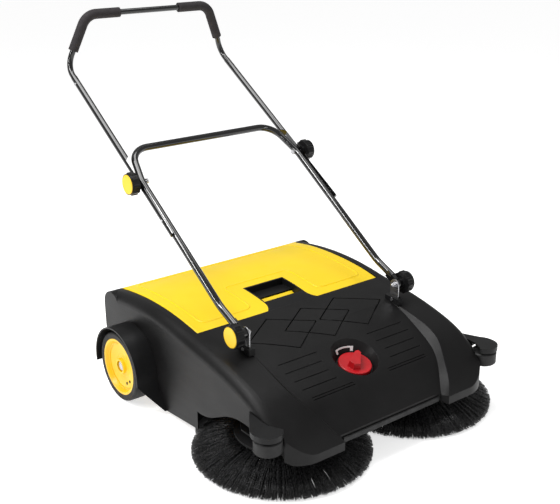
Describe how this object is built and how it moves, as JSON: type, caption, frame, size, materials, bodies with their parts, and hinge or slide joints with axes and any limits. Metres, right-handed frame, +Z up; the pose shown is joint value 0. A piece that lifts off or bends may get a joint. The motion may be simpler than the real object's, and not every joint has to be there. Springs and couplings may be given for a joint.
{
  "type": "walk behind sweeper",
  "caption": "Push sweeper with front brush discs driven by its wheels, a dirt container under a yellow lid, folding push handle, wall rollers and a brush height dial.",
  "frame": {"origin": "on the floor, below the middle of the whole machine", "axes": "+Z up, the machine drives towards -Y and the handle stands at +Y, +X to its left-hand side as seen from the front"},
  "size_m": [0.8544, 1.1446, 0.9775],
  "materials": {
    "housing_black": "moulded satin black",
    "cover_black": "moulded satin black",
    "yellow_plastic": "moulded satin yellow",
    "black_tube": "gloss black paint",
    "grip_foam": "matt foam",
    "steel": "zinc plated",
    "tyre_rubber": "matt rubber",
    "bristle": "fine fibres",
    "red_plastic": "satin red",
    "knob_black": "satin black",
    "soft_rubber": "matt rubber",
    "inner_plastic": "moulded black",
    "belt_rubber": "matt round belt",
    "white_print": "white print"
  },
  "bodies": {
    "chassis": {"housing": "housing_black", "base_plate": "inner_plastic", "housing_screws": "steel", "front_lip": "soft_rubber", "guide_pins": "steel", "brackets": "steel", "bracket_sockets": "cover_black", "socket_bolts": "steel", "pivot_bolts": "steel", "stub_axles": "steel", "axle_nuts": "steel", "brush_bushes": "inner_plastic", "fender_left": "cover_black", "fender_right": "cover_black", "guide_cover_left": "cover_black", "guide_cover_right": "cover_black", "belt_left": "belt_rubber", "belt_right": "belt_rubber", "dial_plate": "white_print"},
    "container": {"container_lid": "yellow_plastic", "grip_insert": "cover_black", "container_tub": "yellow_plastic", "tub_lip": "soft_rubber"},
    "lower_handle": {"lower_frame": "black_tube"},
    "upper_handle": {"upper_leg_left": "black_tube", "upper_leg_right": "black_tube", "handle_bow": "black_tube", "grip_left": "grip_foam", "grip_right": "grip_foam", "bow_screws": "steel", "upper_bolts": "steel"},
    "height_dial": {"dial_knob": "red_plastic"},
    "castor_carrier": {"castor_fork": "inner_plastic", "castor_pin": "steel"},
    "castor_roll": {"castor_wheel": "inner_plastic"},
    "wheel_left": {"tyre_left": "tyre_rubber", "rim_left": "yellow_plastic", "wheel_pulley_left": "inner_plastic"},
    "brush_left": {"bristles_left": "bristle", "brush_plate_left": "inner_plastic", "brush_spindle_left": "steel", "brush_pulley_left": "inner_plastic"},
    "wall_roller_left": {"guide_roller_left": "soft_rubber"},
    "lower_clamp_left": {"lower_knob_left": "knob_black", "lower_knob_cap_left": "yellow_plastic"},
    "upper_clamp_left": {"upper_knob_left": "knob_black", "upper_knob_cap_left": "yellow_plastic"},
    "wheel_right": {"tyre_right": "tyre_rubber", "rim_right": "yellow_plastic", "wheel_pulley_right": "inner_plastic"},
    "brush_right": {"bristles_right": "bristle", "brush_plate_right": "inner_plastic", "brush_spindle_right": "steel", "brush_pulley_right": "inner_plastic"},
    "wall_roller_right": {"guide_roller_right": "soft_rubber"},
    "lower_clamp_right": {"lower_knob_right": "knob_black", "lower_knob_cap_right": "yellow_plastic"},
    "upper_clamp_right": {"upper_knob_right": "knob_black", "upper_knob_cap_right": "yellow_plastic"}
  },
  "joints": [
    {"name": "container_pull", "type": "slide", "parent": "chassis", "child": "container", "axis": [0, 1, 0], "range_m": [0, 0.32]},
    {"name": "lower_fold", "type": "hinge", "parent": "chassis", "child": "lower_handle", "pos_m": [0, -0.2595, 0.291], "axis": [1, 0, 0], "range_deg": [0, 140]},
    {"name": "upper_fold", "type": "hinge", "parent": "lower_handle", "child": "upper_handle", "pos_m": [0, 0.1805, 0.57], "axis": [-1, 0, 0], "range_deg": [-150, 0]},
    {"name": "wheel_left_spin", "type": "hinge", "parent": "chassis", "child": "wheel_left", "pos_m": [-0.376, 0.1165, 0.0955], "axis": [1, 0, 0], "continuous": true},
    {"name": "brush_left_spin", "type": "hinge", "parent": "chassis", "child": "brush_left", "pos_m": [-0.21375, -0.3555, 0.06], "axis": [0, 0, 1], "continuous": true},
    {"name": "wall_roller_left_spin", "type": "hinge", "parent": "chassis", "child": "wall_roller_left", "pos_m": [-0.359, -0.489, 0.13], "axis": [0, 0, 1], "continuous": true},
    {"name": "lower_clamp_left_turn", "type": "hinge", "parent": "chassis", "child": "lower_clamp_left", "pos_m": [-0.28, -0.2595, 0.291], "axis": [1, 0, 0], "range_deg": [0, 360]},
    {"name": "upper_clamp_left_turn", "type": "hinge", "parent": "upper_handle", "child": "upper_clamp_left", "pos_m": [-0.291, 0.1805, 0.57], "axis": [1, 0, 0], "range_deg": [0, 360]},
    {"name": "wheel_right_spin", "type": "hinge", "parent": "chassis", "child": "wheel_right", "pos_m": [0.376, 0.1165, 0.0955], "axis": [1, 0, 0], "continuous": true},
    {"name": "brush_right_spin", "type": "hinge", "parent": "chassis", "child": "brush_right", "pos_m": [0.21375, -0.3555, 0.06], "axis": [0, 0, 1], "continuous": true},
    {"name": "wall_roller_right_spin", "type": "hinge", "parent": "chassis", "child": "wall_roller_right", "pos_m": [0.359, -0.489, 0.13], "axis": [0, 0, 1], "continuous": true},
    {"name": "lower_clamp_right_turn", "type": "hinge", "parent": "chassis", "child": "lower_clamp_right", "pos_m": [0.28, -0.2595, 0.291], "axis": [1, 0, 0], "range_deg": [0, 360]},
    {"name": "upper_clamp_right_turn", "type": "hinge", "parent": "upper_handle", "child": "upper_clamp_right", "pos_m": [0.291, 0.1805, 0.57], "axis": [1, 0, 0], "range_deg": [0, 360]},
    {"name": "dial_turn", "type": "hinge", "parent": "chassis", "child": "height_dial", "pos_m": [0, -0.377, 0.172], "axis": [0, -0.2419, 0.9703], "range_deg": [0, 180]},
    {"name": "castor_lift", "type": "slide", "parent": "chassis", "child": "castor_carrier", "axis": [0, -0.2419, 0.9703], "range_m": [-0.01, 0]},
    {"name": "castor_spin", "type": "hinge", "parent": "castor_carrier", "child": "castor_roll", "pos_m": [0, -0.205, 0.027], "axis": [1, 0, 0], "continuous": true}
  ],
  "couplings": [
    {"joint": "brush_left_spin", "follows": "wheel_left_spin", "ratio": 1.6667},
    {"joint": "brush_right_spin", "follows": "wheel_right_spin", "ratio": -1.6667},
    {"joint": "castor_lift", "follows": "dial_turn", "m_per_rad": -0.0031831}
  ]
}
